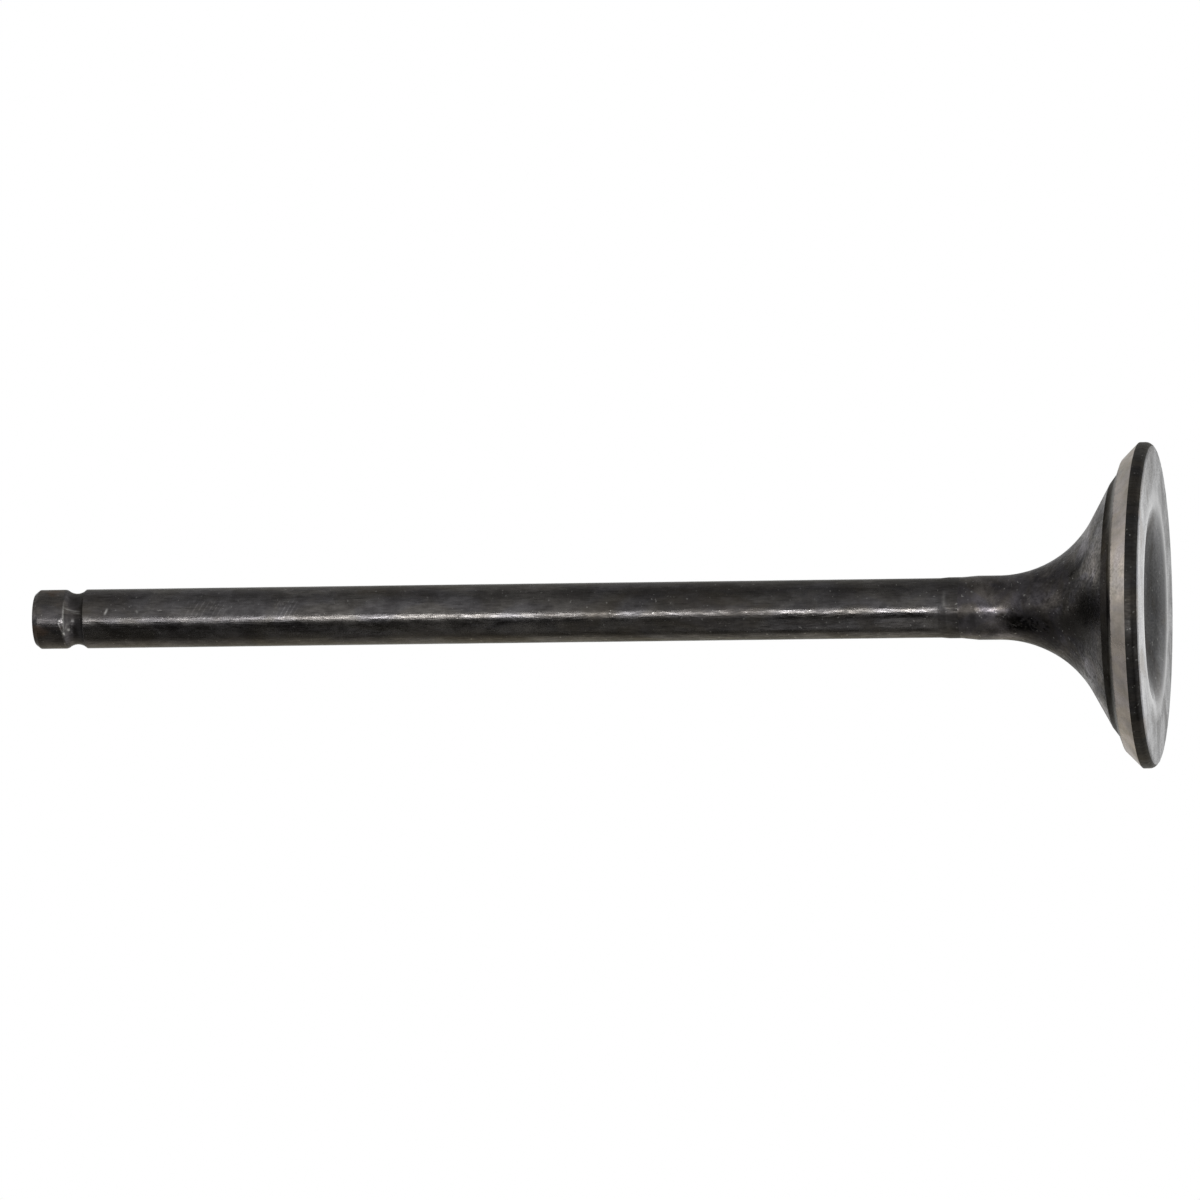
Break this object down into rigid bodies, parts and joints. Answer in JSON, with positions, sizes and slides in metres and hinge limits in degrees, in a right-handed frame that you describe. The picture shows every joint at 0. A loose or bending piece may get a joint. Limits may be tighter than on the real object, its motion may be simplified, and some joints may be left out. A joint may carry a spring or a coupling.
{
  "type": "engine exhaust valve",
  "caption": "Poppet valve of a car engine: dished head, 45 degree ground seat, tulip neck and a slim ground stem with one round keeper groove. It stands on its head.",
  "frame": {"origin": "centre of the head's face, where the valve stands on it", "axes": "+Z along the stem, from the head's face to the tip"},
  "size_m": [0.03, 0.03, 0.1046],
  "materials": {
    "nitrided_steel": "dark nitrided and worn on stem, neck and face, with the seat ground bright"
  },
  "bodies": {
    "root": {"valve": "nitrided_steel"}
  },
  "joints": []
}
